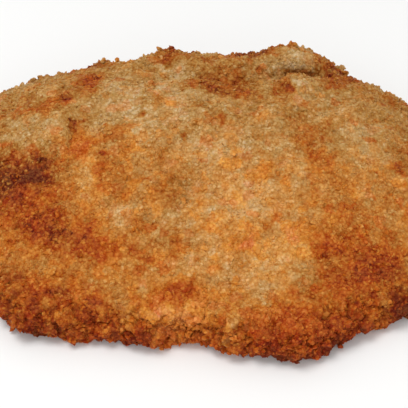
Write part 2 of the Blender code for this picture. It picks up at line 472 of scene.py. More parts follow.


# %% [markdown]
# ## Browning
#
# How brown a spot is depends on how long it lay in the fat, not on its shape. One field gives it
# everywhere, from 0 (pale straw) to 1 (nearly burnt): a middle value, browner along the rim, with
# named scorched and shielded patches, and unevenness at every size from a thumb's to a crumb's.
# A second field leans the colour from straw (0) over orange (1) to red (2), because crumbs that are
# equally brown still differ in how much fat they took up; its lean from orange in front to straw at
# the back is partly a painted sheen, as the back is seen at a low angle. Textures could be painted
# instead, but fields of positions colour crumbs and crust alike.

# %% The named patches
# Each patch: a place (x, y) and a reach along and across, in millimetres, a turn in degrees, how
# much browner it is and how much its hue is raised.
PATCHES = {
    "scorch at the left": (-59, -8.5, 8, 8.5, 0, 0.51, -0.6),
    "scorch, right half": (-48, -6, 7, 6, 0, 0.4, -0.55),
    "core of the scorch": (-50.8, -8.5, 3, 2, 0, 0.2, 0),
    "upper edge of the scorch": (-48.5, -2.4, 3, 1.8, 0, 0.2, 0.1),
    "below the scorch": (-53, -18, 10, 7, 0, 0.27, 0.15),
    "brown right of the scorch": (-42, -13, 4.5, 4.5, 0, 0.18, -0.15),
    "tail of the scorch": (-41, -27.5, 13, 6.4, -32, 0.45, 0.12),
    "light spot above the tail": (-42, -23.5, 3, 2.4, 0, -0.14, 0),
    "end of the tail": (-28, -34, 7, 5.5, 0, 0.17, 0.2),
    "golden strip at the left": (-52, -31, 8, 7, 0, 0.07, 0.2),
    "brown flank at the front left": (-44, -46, 15, 8, -5, 0.28, 0.05),
    "dark crumbs in the left flank": (-46.5, -47.5, 3, 2.2, 0, 0.2, 0.1),
    "stain in the left flank": (-32.5, -50.5, 2.6, 2, 0, 0.34, 0.2),
    "dark crumbs below the flank": (-47, -52, 2.4, 2, 0, 0.22, 0),
    "dark crumbs left of the middle": (-26.5, -54, 2.6, 2, 0, 0.28, 0),
    "light spot in the flank": (-42, -42, 2.6, 2.6, 0, -0.11, 0.1),
    "orange rim at the front left": (-35, -54.5, 11, 4.5, 0, -0.18, 0.05),
    "stain at the front middle": (-8, -47, 3.8, 4.2, 0, 0.3, 0.6),
    "dark crumbs at the front": (-17.5, -56.2, 4.4, 2.4, 0, 0.36, 0),
    "dark foot of the front rim": (18, -60.5, 6, 2, 0, 0.14, 0),
    "bright hollow in the left": (-35.5, -12, 3, 6, 10, -0.18, 0),
    "orange flank at the left": (-28.5, -8, 4.5, 7, 15, 0.14, 0.2),
    "bright spot left of the middle": (-19, 5, 5, 4, 0, -0.22, 0),
    "smear left of the middle": (-8, -14, 4.2, 7, -30, 0.15, -0.25),
    "pale dimple at the left": (-23.5, -24, 4, 4, 0, -0.24, -0.1),
    "smear before the middle": (-21, -17, 5, 3, 0, 0.12, 0.1),
    "brown spot at the left": (-18.5, -36.5, 2.6, 2.6, 0, 0.28, 0.3),
    "small stain in front": (-7.8, -32, 2.4, 2.4, 0, 0.26, 0.45),
    "straw around it": (-10, -28, 7.5, 6, 0, 0, -0.6),
    "second small stain in front": (11, -34, 3.4, 3, 0, 0.12, 0.9),
    "pale front middle": (0, -38, 8, 8, 0, -0.14, -0.05),
    "pale middle": (10, -16, 15, 12, 0, -0.2, -0.1),
    "palest spot": (12, -26, 5, 7, 0, -0.13, 0.05),
    "small stain beside the palest spot": (17.4, -23.3, 1.6, 1.4, 0, 0.36, 0.3),
    "second pale spot": (25, -31, 5.5, 5, 0, -0.16, 0.38),
    "pale middle, upper half": (6, 0.5, 18, 6, 0, -0.13, 0),
    "bright spot at the middle": (-5, 2, 3.6, 3.6, 0, -0.08, -0.15),
    "dark spot in the middle": (-6.2, 4.5, 1.5, 1.4, 0, 0.34, 0.3),
    "orange spot in the middle": (17.5, -9.5, 4.5, 3.4, 0, 0.09, 0.5),
    "pale front right": (18, -38.5, 10.5, 6.5, 0, -0.2, 0),
    "brown streak at the front right": (27, -43.5, 4.5, 5, 0, 0.08, -0.4),
    "red spot at the right": (33.8, -31, 3.6, 3.4, 0, 0.3, 0.7),
    "stain at the right": (40.5, -21.5, 6, 5, 0, 0.18, 0),
    "brown front right": (45, -37.5, 12, 9.5, 10, 0.42, 0.12),
    "darker spot in the brown": (44, -40.5, 5.5, 3.4, 0, 0.11, -0.1),
    "brown above the front right rim": (33, -48, 9, 4, 10, 0.14, 0.1),
    "dark corner at the right": (55.2, -48.8, 3.6, 4, 25, 0.48, 0.3),
    "paler before the corner": (47.2, -48.5, 3.4, 3.4, 0, -0.24, 0.1),
    "brown rim at the front right": (25, -57, 17.5, 5.5, 0, 0.26, 0.8),
    "orange rim in the middle": (-10, -54.5, 10.5, 5.5, 0, -0.3, 0.6),
    "light crumbs of the front rim": (6, -60, 4, 3, 0, -0.26, 0.1),
    "brown front of the middle": (-14, -48, 7, 4, 0, 0.14, 0.1),
    "pale above the front rim": (8, -47, 9, 4, 0, -0.12, 0),
    "streak right of the middle": (30, 2, 3.4, 10, 20, 0.18, 0.15),
    "stain at the right edge": (56.6, -5, 3.4, 2.5, 0, 0.34, 0.3),
    "pale right flank": (45, 3, 8, 8, 0, -0.05, -0.15),
    "straw right of the middle": (28, 6, 30, 9.5, 0, 0.04, -0.18),
    "right edge": (57.5, 1, 5, 10, 0, 0.12, -0.1),
    "brown right flank": (46, -11, 7, 6, 0, 0.1, -0.15),
    "stain in the middle": (3.2, 9.4, 2.3, 2, 0, 0.3, 0.3),
    "brown by the lump": (34, 15.5, 6, 6, 0, -0.09, -0.25),
    "right shoulder": (59, 24, 11, 14, 0, 0.14, -0.35),
    "light crumbs of the shoulder": (60, 42, 4, 4, 0, -0.36, -0.3),
    "golden right flank": (47.5, 7, 6, 5, 0, -0.14, -0.1),
    # The valley's patches are browner partly in their own colour and partly as painted shade of the
    # hollow.
    "valley floor": (1.2, 31.5, 5, 7.8, 0, 0.39, 0.1),
    "dark spot in the valley": (1.4, 26.2, 2.4, 2, 0, 0.12, 0.1),
    "left edge of the valley": (-6, 33, 2.6, 6, 0, 0.18, 0),
    "brown spot beside the valley": (-5.5, 26.8, 2.2, 2, 0, 0.2, 0.1),
    "valley floor, right half": (10.5, 30, 5.5, 7, 0, 0.34, 0.2),
    "valley, lower edge": (10.5, 22.5, 6.5, 4, 0, 0.28, 0.2),
    # Painted light: the lip's face lies in shade, so it is painted paler.
    "painted light on the lip's face, left end": (6, 43, 4, 3, 0, -0.1, -0.2),
    "foot of the lip, left end": (-13.5, 42, 4, 3, 0, -0.18, 0),
    # Painted shade: the foot of the lump lies in the crease's shadow, so it is painted browner.
    "painted shade at the foot of the lump": (29, 35, 5, 4, 0, 0.54, 0.15),
    "brown beside the lump": (23.6, 28.5, 2.4, 4.5, 0, 0.34, 0.3),
    "red spot beside the lump": (24.3, 25, 1.8, 2.2, 0, 0.2, 0.5),
    "pale lump": (30, 30, 5, 4, 0, -0.16, -0.45),
    "brown before the lump": (22.5, 21.5, 4.5, 4, 0, 0.11, -0.05),
    "brown end of the lump": (37, 34, 5, 6, 0, 0.34, 0.1),
    # Painted light: the lip's face and the crease's left end lie in shade, so they are painted paler.
    "painted light on the lip's face": (26.5, 44, 9.5, 3, 0, -0.2, -0.4),
    "painted light at the crease's left end": (20, 41.5, 4.5, 3, 0, -0.12, -0.1),
    "back of the lip": (12.5, 49, 8.5, 8, 0, 0.5, 0.1),
    "end of the lip": (42.5, 43.5, 6, 8, 40, 0.48, 0),
    "left end of the lip": (-11.5, 50.5, 6, 8, 0, 0.4, 0.05),
    "stain below it": (-16.3, 39, 2.6, 2.2, 0, 0.26, 0.2),
    "dark crumbs at its foot": (-12.6, 45.6, 2.2, 2, 0, 0.22, 0.1),
    "brown left of the notch": (-1, 44, 4.5, 5, 0, 0.14, 0.1),
    "back left stain": (-35.5, 30, 4.4, 5.8, 0, 0.34, 0.8),
    "browner back left": (-37, 35, 10, 16, 0, 0.08, 0),
    "core of the back left stain": (-34.8, 31.5, 1.8, 1.8, 0, 0.28, 0),
    "second stain": (-43.5, 20.2, 3, 3.6, 0, 0.44, 0.4),
    "core of the second stain": (-43.1, 19, 1.6, 1.4, 0, 0.2, 0.1),
    "brown between the stains": (-38.5, 24, 4.5, 4, 0, 0.16, 0.1),
    "third stain": (-49, 16.8, 3.2, 3.2, 0, 0.16, 0.65),
    "stain on the shoulder": (-53, 31.5, 3, 3.4, 0, 0.2, 0.6),
    "brown left edge": (-60, 21, 7.5, 5.5, 0, 0.22, -0.28),
    "left edge below it": (-62, 4, 5.5, 8, 0, 0.12, -0.35),
    "back left edge": (-60, 40, 6, 7, 0, -0.02, -0.2),
    "stain beside the valley": (-21.7, 31, 2.6, 3, 0, -0.04, 0.1),
    "pale back left": (-28, 21, 9.5, 11, 0, -0.2, -0.35),
    "brown between the bumps": (-18, 27, 3.4, 5, 0, 0.16, 0.1),
    "orange bump": (-13.5, 18, 3, 3, 0, 0.12, 0.7),
    "bright bump": (-8, 36.5, 4.5, 4.5, 0, -0.18, 0.05),
    "pale edge beside the valley": (-12, 33, 3.2, 11, 0, -0.11, 0),
    "second bright bump": (-9, 21, 6, 6, 0, -0.18, -0.1),
    "broken edge of the blister": (-40.4, 9.6, 1.9, 1.2, 25, 0.55, 0.2),
    "straw right of the blister": (-26.5, 11.5, 5, 3.6, 0, 0, -0.3),
    # Painted shadow: a dark red line left of the middle.
    "painted shadow left of the middle": (-31.4, -2, 2.2, 1.1, -15, 0.46, 0.5),
    "orange line at the left": (-39, -0.8, 2.2, 1.4, 0, 0.3, 0.4),
    "stain right of the blister": (-28.5, 4.9, 3.2, 3.6, 0, 0.22, 0.5),
    "orange below it": (-34.5, 0.8, 2.8, 3, 0, 0.06, 0.5),
    "small red spot": (-20.9, 15.4, 1.6, 1.4, 0, 0.42, 0.5),
    "pale blister": (-50, 8, 9, 6, 0, -0.12, -0.5),
    "straw at the back left": (-47, 29, 8, 7, 0, -0.04, -0.36),
    "brown back left rim": (-40, 49, 9, 7, 10, 0.32, 0.2),
    "brown tip at the right": (68, -20, 12, 12, 60, 0.2, 0),
    "brown tip at the left": (-72, -15, 10, 14, 0, 0.2, 0),
}
print(len(PATCHES), "patches")

# %% The browning field
TOAST_MIDDLE = 0.34
RIM_TOAST = 0.16
FRONT_RIM_TOAST = 0.34
BARE_TOAST = 0.14
# In the crease under the lip the crust is painted browner, more orange and darker: painted shade under
# the lip's overhang.
CREASE_SHADE_TOAST = 0.4
HUE_MIDDLE = 0.02
# In front the hue leans to orange and at the back it stays straw, partly for fat and partly as a
# painted sheen on the back, which is seen at a low angle.
FRONT_HUE = 0.65
FRONT_LEAST_HUE = 0.3
BEHIND_HUE = 0.35
RIM_HUE = 0.35
BARE_HUE = 0.9
CREASE_SHADE_HUE = 0.6
# How much a clump or a knot differs from the next, and unevenness as sizes, amounts and seeds.
LUMP_TOAST = 0.08
LUMP_HUE = 0.3
UNEVENNESS = ((0.022, 0.015, 51), (0.011, 0.022, 52), (0.0055, 0.032, 53), (0.0028, 0.028, 54))
HUE_UNEVENNESS = 0.08
# How dark the painted shade is in the crevices between clumps, in those between knots on top and
# more on the rim, and in the crease.
CLUMP_SHADE = 0.7
KNOT_SHADE = (0.16, 0.3)
CREASE_SHADE = 0.9


def patch_sum(points, which):
    """The sum over patches of a flat-topped bell times one of its last two numbers.

    The bell is e to the minus cube of the distance in reaches, so a patch has a soft but clear
    edge. It is read at ragged places, in millimetres.
    """
    places = 1000.0 * ragged(ragged(points, 0.007, 0.0009, 55), 0.003, 0.0004, 58)
    total = np.zeros(places.shape[:-1])
    for patch_x, patch_y, along, across_it, turn, *amounts in PATCHES.values():
        cosine, sine = math.cos(math.radians(turn)), math.sin(math.radians(turn))
        dx, dy = places[..., 0] - patch_x, places[..., 1] - patch_y
        away = np.hypot((dx * cosine + dy * sine) / along, (dy * cosine - dx * sine) / across_it)
        total += amounts[which] * np.exp(-(away**3))
    return total


def near_table(points):
    """1 at the foot of the rim, falling to 0 as the rim rises."""
    return 1.0 - rise(points[..., 2], 0.002, 0.014)


def bare_at(points):
    """The share of crust laid bare beside the blister: sharp at its broken edge, then fading."""
    past = points[..., 0] - BLISTER_EDGE + 0.0005 * bumps(points, 0.003, 59)
    return plateau(past, -0.0002, 0.0006, 0.003, 0.007) * bell(points[..., 1] - 0.003, 0.0065)


def in_crease(points):
    """1 deep in the open part of the crease under the lip, 0 outside it."""
    x, y, z = np.moveaxis(points, -1, 0)
    below = 1.0 - rise(z + 0.0005 * bumps(points, 0.004, 63), 0.0212, 0.0222)
    return plateau(x, 0.0235, 0.026, 0.032, 0.035) * below * bell(y - 0.0402, 0.0026)


def own_shift(points, amount, which):
    """What a point's clump and its knot add of their own: the amount times a random value each."""
    (_, _, clump_values), (_, _, knot_values) = lumps(points)
    return amount * (clump_values[which] - 0.5) + amount * (knot_values[which] - 0.5)


def toast_at(points):
    """How brown each point is: the middle value, more near the table, each patch's bell, and bumps."""
    rim = RIM_TOAST + FRONT_RIM_TOAST * (1.0 - rise(points[..., 1], -0.045, 0.01))
    toast = TOAST_MIDDLE + rim * near_table(points) + patch_sum(points, 0)
    # Bare crust beside the blister is browner, and the crease under the lip gets painted shade.
    toast += BARE_TOAST * bare_at(points) + CREASE_SHADE_TOAST * in_crease(points)
    for size, amount, seed in UNEVENNESS:
        toast = toast + amount * bumps(points, size, seed)
    return toast + own_shift(points, LUMP_TOAST, 1)


def hue_at(points):
    """Where the crust leans to straw, orange or red: more in front, partly a painted sheen paling the
    back, more near the table, and patches.
    """
    in_front = 1.0 - rise(points[..., 1], -0.02, 0.03)
    behind = rise(points[..., 1], 0.05, 0.058)
    hue = HUE_MIDDLE + FRONT_HUE * in_front + BEHIND_HUE * behind + RIM_HUE * near_table(points)
    # The crease's painted shade is warmer in hue as well.
    hue += BARE_HUE * bare_at(points) + CREASE_SHADE_HUE * in_crease(points)
    hue += patch_sum(points, 1) + own_shift(points, LUMP_HUE, 2)
    hue += HUE_UNEVENNESS * bumps(points, 0.007, 61)
    return np.maximum(hue, FRONT_LEAST_HUE * in_front)


def shade_at(points, rim):
    """Painted shade, 0 to 1, in crevices on the rim (rim 1), fainter on top (rim 0), and in the crease.
    """
    (_, clump_gap, _), (_, knot_gap, _) = lumps(points)
    between_clumps = CLUMP_SHADE * rim * (1.0 - rise(clump_gap, 0.02, 0.24))
    between_knots = (KNOT_SHADE[0] + KNOT_SHADE[1] * rim) * (1.0 - rise(knot_gap, 0.0, 0.22))
    return np.clip(between_clumps + between_knots + CREASE_SHADE * in_crease(points), 0.0, 1.0)


some_toast = toast_at(crust[::8, ::8])
print("browning on top from", some_toast.min().round(2), "to", some_toast.max().round(2))


# %% [markdown]
# ## The crust piece
#
# The crust is one skin all round the meat, so it is one closed mesh: the top's grid,
# rings under it that share its border, and a fan that closes the last ring. Its map lays the top
# out as it is and the underside as a strip below it, so no two faces share a place in the map.

# %% The crust piece
# Where the top, the rings and the fan meet in the map, as shares of its height.
TOP_FOOT = 0.3
RINGS_TOP = 0.28
FAN_TOP = 0.02
# How dark the painted shade is in a dip between two grains, and on the underside, where little light
# comes.
GRAIN_SHADE = 0.15
UNDERSIDE_SHADE = 0.5


def grid_faces(rows, columns):
    """The four corners of each cell of a grid whose points are numbered row by row."""
    corner = np.arange(rows - 1)[:, None] * columns + np.arange(columns - 1)[None]
    corners = [corner, corner + 1, corner + 1 + columns, corner + columns]
    return np.stack(corners, axis=-1).reshape(-1, 4)


def crust_map(rows, columns, rings, around):
    """The map's place of each corner: the top as a rectangle, each ring as a row, the fan's teeth."""
    top = np.meshgrid(np.linspace(0.0, 1.0, columns), np.linspace(TOP_FOOT, 1.0, rows))
    top = np.stack(top, axis=-1).reshape(-1, 2)[grid_faces(rows, columns)].reshape(-1, 2)
    height = np.linspace(RINGS_TOP, FAN_TOP, rings)
    step = np.arange(around)
    upper, left, right = np.broadcast_arrays(height[:-1, None], step / around, (step + 1) / around)
    lower = np.broadcast_to(height[1:, None], upper.shape)
    ring = np.stack([left, upper, left, lower, right, lower, right, upper], axis=-1)
    base, tip = np.full(around, FAN_TOP), np.zeros(around)
    fan = np.stack([left[0], base, (left[0] + right[0]) / 2.0, tip, right[0], base], axis=-1)
    return np.concatenate([top, ring.reshape(-1, 2), fan.reshape(-1, 2)])


def build_crust():
    """The top's grid, the underside's rings that start at its border, and a fan in the middle."""
    rows, columns = crust.shape[:2]
    top_count, under_count = rows * columns, underside[..., 0].size
    edge = around_edge(np.arange(top_count).reshape(rows, columns))
    around = len(edge)
    rings = top_count + np.arange(under_count).reshape(-1, around)
    rings = np.concatenate([edge[None], rings])
    following = np.roll(rings, -1, axis=1)
    ring_faces = np.stack([rings[:-1], rings[1:], following[1:], following[:-1]], axis=-1)
    middle = np.full(around, top_count + under_count)
    fan = np.stack([rings[-1], middle, following[-1]], axis=-1)

    points = [crust.reshape(-1, 3), underside.reshape(-1, 3), [[0.0, 0.0, CEILING]]]
    points = np.concatenate(points)
    # Painted shade: crevices, the crease and the dips between grains are darkened in colour.
    shade = shade_at(form, rim_share) + GRAIN_SHADE * (1.0 - grain)
    shade = np.clip(shade, 0.0, 1.0).ravel()
    shade = np.concatenate([shade, np.full(under_count + 1, UNDERSIDE_SHADE)])
    return mesh_object(
        "crust", points, [grid_faces(rows, columns), ring_faces.reshape(-1, 4), fan],
        crust_map(rows, columns, len(rings), around),
        {"toast": toast_at(points), "hue": hue_at(points), "shade": shade},
    )


crust_piece = build_crust()


# %% [markdown]
# ## Crumbs
#
# A dried breadcrumb is a splintered lump with no two sides alike. Each one here is a small ball of
# 8, 20 or 36 triangles with its corners pushed in and out at random, squashed, turned any way and
# sunk about half into the crust, the coarse ones less. Particles or instances would be lighter, but
# an export drops them, so all crumbs of one kind are joined in one mesh, computed as one array.

# %% One nugget, and its unfolded net
def nugget(sides, belts):
    """A ball of two times sides times belts triangles: two poles and belts of corners between them.

    Belt k lies at k shares of the way from pole to pole and is turned by half a side from the one
    before. Returns the unit points, the triangles and, for each corner of each triangle, its place
    in an unfolded net that fills a unit square.
    """
    polar = np.pi * np.arange(1, belts + 1)[:, None] / (belts + 1)
    around = 2.0 * np.pi * (np.arange(sides)[None] + 0.5 * np.arange(belts)[:, None]) / sides
    ring = np.stack([np.sin(polar) * np.cos(around), np.sin(polar) * np.sin(around),
                     np.cos(polar) + 0.0 * around], axis=-1).reshape(-1, 3)
    points = np.concatenate([[[0.0, 0.0, 1.0]], ring, [[0.0, 0.0, -1.0]]])
    side = np.arange(sides)
    following = (side + 1) % sides
    first, last, bottom = 1, 1 + (belts - 1) * sides, 1 + belts * sides
    triangles = [np.stack([0 * side, first + side, first + following], axis=1)]
    nets = [np.stack([side + 0.5, side, side + 1], axis=1)]
    levels = [np.tile([belts + 1.0, belts, belts], (sides, 1))]
    for belt in range(belts - 1):
        upper, lower, lean = 1 + belt * sides, 1 + (belt + 1) * sides, 0.5 * belt
        triangles.append(np.stack([upper + side, lower + side, upper + following], axis=1))
        nets.append(np.stack([side, side + 0.5, side + 1], axis=1) + lean)
        levels.append(np.tile([belts - belt, belts - belt - 1.0, belts - belt], (sides, 1)))
        triangles.append(np.stack([lower + side, lower + following, upper + following], axis=1))
        nets.append(np.stack([side + 0.5, side + 1.5, side + 1], axis=1) + lean)
        levels.append(np.tile([belts - belt - 1.0, belts - belt - 1.0, belts - belt], (sides, 1)))
    lean = 0.5 * (belts - 1)
    triangles.append(np.stack([last + side, bottom + 0 * side, last + following], axis=1))
    nets.append(np.stack([side, side + 0.5, side + 1], axis=1) + lean)
    levels.append(np.tile([1.0, 0.0, 1.0], (sides, 1)))
    net_x, net_y = np.concatenate(nets) / (sides + lean), np.concatenate(levels) / (belts + 1)
    return points, np.concatenate(triangles), np.stack([net_x, net_y], axis=-1)


for sides, belts in ((4, 1), (5, 2), (6, 3)):
    print("nugget of", len(nugget(sides, belts)[1]), "triangles")


# %% Sowing crumbs on the crust
def sow(count, weight, seed):
    """Random places on the crust's grid: cells drawn by their area times weight, a spot in each.

    Returns the places, the outward normals and whether each place is on the rim (1) or on top (0).
    """
    random = np.random.default_rng(seed)
    side_a, side_b = crust[:-1, 1:] - crust[:-1, :-1], crust[1:, :-1] - crust[:-1, :-1]
    area = np.linalg.norm(np.cross(side_a, side_b), axis=-1) * weight[:-1, :-1]
    total = np.cumsum(area.ravel())
    drawn = np.searchsorted(total, random.random(count) * total[-1])
    row, column = np.unravel_index(drawn, area.shape)
    right, up = random.random((2, count, 1))
    blend = [(1 - right) * (1 - up), right * (1 - up), (1 - right) * up, right * up]
    picks = [(row, column), (row, column + 1), (row + 1, column), (row + 1, column + 1)]
    places = sum(part * crust[pick] for part, pick in zip(blend, picks))
    facing = sum(part * crust_normal[pick] for part, pick in zip(blend, picks))
    facing /= np.linalg.norm(facing, axis=1, keepdims=True)
    return places, facing, rim_share[row, column]


def turned_any_way(count, random):
    """Rotation matrices from random unit quaternions."""
    w, x, y, z = np.moveaxis(random.normal(size=(count, 4)), -1, 0)
    length = np.sqrt(w * w + x * x + y * y + z * z)
    w, x, y, z = w / length, x / length, y / length, z / length
    return np.stack([
        np.stack([1 - 2 * (y * y + z * z), 2 * (x * y - z * w), 2 * (x * z + y * w)], axis=-1),
        np.stack([2 * (x * y + z * w), 1 - 2 * (x * x + z * z), 2 * (y * z - x * w)], axis=-1),
        np.stack([2 * (x * z - y * w), 2 * (y * z + x * w), 1 - 2 * (x * x + y * y)], axis=-1),
    ], axis=-2)


# %% One mesh of many crumbs
# How far each corner lies from the middle, and the squash of the nugget's three axes, at random.
CORNER_REACH = (0.55, 1.3)
SQUASH = ((1.0, 0.6, 0.45), (1.0, 1.0, 0.85))
# Past a browning, crumbs differ more the browner they are: most on top and less on the rim. On
# average they are somewhat paler than the crust under them.
BROWNED_FROM = 0.35
BROWNED_MOST = 0.6
BROWNED_VARIETY = 0.34
RIM_SAMENESS = 0.2
BROWNED_PALER = 0.24
CRUMB_HUE_VARIETY = 0.1
# How much of the crust's painted crevice shade a crumb takes.
CRUMB_SHADE = 0.7
NET_MARGIN = 0.04


def crumbs(name, places, facing, rim, sizes, sides, belts, lift, seed, own_toast):
    """One mesh of many crumbs: every place gets a nugget of its own size, shape, turn and browning.

    A crumb's corners are the nugget's, each pushed in or out, squashed, turned, scaled to its size
    and lifted by lift sizes along the crust's normal. Each crumb's net has its own cell of the map.
    """
    random = np.random.default_rng(seed)
    points, triangles, net = nugget(sides, belts)
    count, repeat = len(places), len(points)
    uneven = random.uniform(*CORNER_REACH, (count, repeat, 1))
    squash = random.uniform(*SQUASH, (count, 3))
    shape = points[None] * uneven * squash[:, None]
    shape = np.einsum("nij,nkj->nki", turned_any_way(count, random), shape)
    middles = places + facing * (lift * sizes)[:, None]
    corners = shape * (sizes / 2.0)[:, None, None] + middles[:, None]
    corners[..., 2] = np.maximum(corners[..., 2], 0.0)
    # Where the crust is brown, its crumbs differ most: some stood proud of the fat and stayed gold.
    toast = toast_at(places)
    browned = np.clip(toast - BROWNED_FROM, 0.0, BROWNED_MOST)
    variety = own_toast + (BROWNED_VARIETY - RIM_SAMENESS * rim) * browned
    toast = toast + variety * random.uniform(-1.5, 1.5, count) - BROWNED_PALER * browned
    hue = hue_at(places) + CRUMB_HUE_VARIETY * random.normal(size=count)
    values = {"toast": toast, "hue": hue, "shade": CRUMB_SHADE * shade_at(places, rim)}

    columns = math.ceil(math.sqrt(count))
    cell = np.stack([np.arange(count) % columns, np.arange(count) // columns], axis=-1)
    corner_uv = (cell[:, None, None] + NET_MARGIN + (1.0 - 2.0 * NET_MARGIN) * net[None]) / columns
    faces = triangles[None] + (np.arange(count) * repeat)[:, None, None]
    return mesh_object(
        name, corners.reshape(-1, 3), [faces.reshape(-1, 3)], corner_uv.reshape(-1, 2),
        {value_name: np.repeat(value, repeat) for value_name, value in values.items()},
        smooth=False,
    )


# %% [markdown]
# ## The kinds of crumbs
#
# Breading is never of one size. Dust and splinters lie everywhere, larger crumbs catch on the rim
# and on the crest of the fold, and a few tall ones break the outline. One kind could hold them all,
# but each kind has its own place, so each is sown with its own weight over the crust.

# %% The kinds of crumbs
# Each kind: how many, their middle size and its spread, the sides and belts of a nugget, the lift
# in sizes, how much they differ in browning, and the first of three seeds.
KINDS = {
    "fine_crumbs": (24000, 0.00075, 0.35, 4, 1, -0.06, 0.04, 71),
    "top_crumbs": (9900, 0.00105, 0.38, 5, 2, -0.1, 0.04, 74),
    "rim_crumbs": (9900, 0.0009, 0.3, 5, 2, -0.14, 0.045, 77),
    "coarse_crumbs": (1800, 0.0015, 0.26, 6, 3, 0.1, 0.05, 80),
    "under_crumbs": (7000, 0.0017, 0.25, 5, 2, 0.1, 0.07, 84),
}


def crumbs_of_kind(name, sown):
    """The piece of one kind on places sown for it, its sizes e to a normal spread times the middle."""
    count, middle, spread, sides, belts, lift, own_toast, seed = KINDS[name]
    sizes = middle * np.exp(spread * np.random.default_rng(seed + 1).normal(size=count))
    return crumbs(name, *sown, sizes, sides, belts, lift, seed + 2, own_toast)


seen = (1.0 - rise(share, 0.985, 1.0)) * (1.0 - 0.9 * in_crease(crust))
on_top = 1.0 - rise(share, 0.66, 0.84)
on_rim = rise(share, 0.62, 0.8)
# Loose crumbs lie in drifts, with barer crust between them.
drifts = 0.2 + rise(bumps(form, 0.0075, 70), -0.7, 1.0)
on_crest = rise(share, 0.66, 0.84) * (0.35 + 0.65 * rise(form[..., 1], -0.02, 0.02))
WEIGHTS = {
    "fine_crumbs": seen * (0.4 + drifts),
    "top_crumbs": seen * drifts * (0.25 + on_top),
    "rim_crumbs": on_rim,
    "coarse_crumbs": seen * (0.03 + on_crest),
}
crumb_pieces = []
for name, weight in WEIGHTS.items():
    count, *_, seed = KINDS[name]
    crumb_pieces.append(crumbs_of_kind(name, sow(count, weight, seed)))

# %% The tallest crumbs, on the back crest
# Each is a place (x, y) and a size.
TALL_CRUMBS = {
    "on the lip's crest": (0.0272, 0.0512, 0.0023),
    "right of it": (0.0312, 0.053, 0.0021),
    "left of it": (0.0238, 0.0535, 0.0019),
    "at the lip's end": (0.044, 0.048, 0.0024),
    "on the left summit": (-0.015, 0.0488, 0.0026),
    "beside the summit": (-0.0115, 0.05, 0.002),
    "at the back left": (-0.0335, 0.048, 0.0027),
    "right of the back left": (-0.0285, 0.0455, 0.0023),
    "on the left shoulder": (-0.054, 0.044, 0.0025),
}
tall = np.array(list(TALL_CRUMBS.values()))
flat_crust, flat_normal = crust.reshape(-1, 3), crust_normal.reshape(-1, 3)
nearest_point = [np.hypot(*(flat_crust[:, :2] - place).T).argmin() for place in tall[:, :2]]
crumb_pieces.append(crumbs(
    "tall_crumbs", flat_crust[nearest_point], flat_normal[nearest_point],
    rim_share.ravel()[nearest_point], tall[:, 2], 6, 3, 0.25, 83, 0.05))


# %% Crumbs under the schnitzel
def sow_under(count, seed):
    """Places on the underside: border points moved inwards by the root of a random share."""
    random = np.random.default_rng(seed)
    inward_share = np.sqrt(random.random((count, 1))) * 0.985
    places = border[random.integers(0, len(border), count)] * inward_share
    places[:, 2] = CEILING * 0.9
    return places, np.tile([0.0, 0.0, -1.0], (count, 1)), np.ones(count)


count, *_, seed = KINDS["under_crumbs"]
crumb_pieces.append(crumbs_of_kind("under_crumbs", sow_under(count, seed)))


# %% [markdown]
# ## Colour groups
#
# Fried crumbs run through a short range of colours: straw, gold, orange brown, deep brown. A node
# group turns the browning, the leaning of the hue, the dryness, which also carries a painted sheen,
# and the painted shade of the crevices into that colour. It is a group because the crust and every
# kind of crumb use it, each with its own strengths.

# %% Building nodes
def group_with(name, inputs, outputs):
    """An empty shader node group: inputs are (name, default) values, outputs are (name, kind)."""
    group = bpy.data.node_groups.new(name, "ShaderNodeTree")
    for socket_name, default in inputs:
        socket = group.interface.new_socket(
            name=socket_name, in_out="INPUT", socket_type="NodeSocketFloat")
        socket.default_value = default
    for socket_name, kind in outputs:
        group.interface.new_socket(name=socket_name, in_out="OUTPUT", socket_type=kind)
    return group, group.nodes.new("NodeGroupInput"), group.nodes.new("NodeGroupOutput")


def linear(red, green, blue):
    """A screen colour of 0 to 255 as the linear colour that shaders use."""
    channel = np.array([red, green, blue]) / 255.0
    bright = ((channel + 0.055) / 1.055) ** 2.4
    return tuple(np.where(channel <= 0.04045, channel / 12.92, bright)) + (1.0,)


def math_node(tree, operation, *values, clamp=False):
    """A Math node on two or three sockets or numbers."""
    node = tree.nodes.new("ShaderNodeMath")
    node.operation = operation
    node.use_clamp = clamp
    for socket, value in zip(node.inputs, values):
        if isinstance(value, (int, float)):
            socket.default_value = value
        else:
            tree.links.new(value, socket)
    return node.outputs[0]


def weighted_sum(tree, start, *terms, clamp=False):
    """A start value plus each socket times its weight; clamp holds the result between 0 and 1."""
    total = start
    for place, (socket, weight) in enumerate(terms, 1):
        last = clamp and place == len(terms)
        total = math_node(tree, "MULTIPLY_ADD", socket, weight, total, clamp=last)
    return total


def mixed(tree, factor, first, second, blend="MIX"):
    """A colour mix of two sockets or colours."""
    node = tree.nodes.new("ShaderNodeMix")
    node.data_type = "RGBA"
    node.blend_type = blend
    for socket, value in zip((node.inputs[0], node.inputs[6], node.inputs[7]), (factor, first, second)):
        if isinstance(value, (int, float, tuple)):
            socket.default_value = value
        else:
            tree.links.new(value, socket)
    return node.outputs[2]


# %% The browning group
BROWNING = (
    (0.0, linear(215, 170, 117)),
    (0.2, linear(200, 145, 82)),
    (0.4, linear(182, 118, 49)),
    (0.6, linear(165, 85, 14)),
    (0.8, linear(140, 51, 4)),
    (1.0, linear(92, 18, 2)),
)
STRAW_TINT = (0.9, 1.15, 1.56, 1.0)
ORANGE_TINT = (1.15, 0.92, 0.42, 1.0)
RED_TINT = (1.24, 0.82, 0.9, 1.0)
SOAKED_TINT = (0.93, 0.89, 0.76, 1.0)
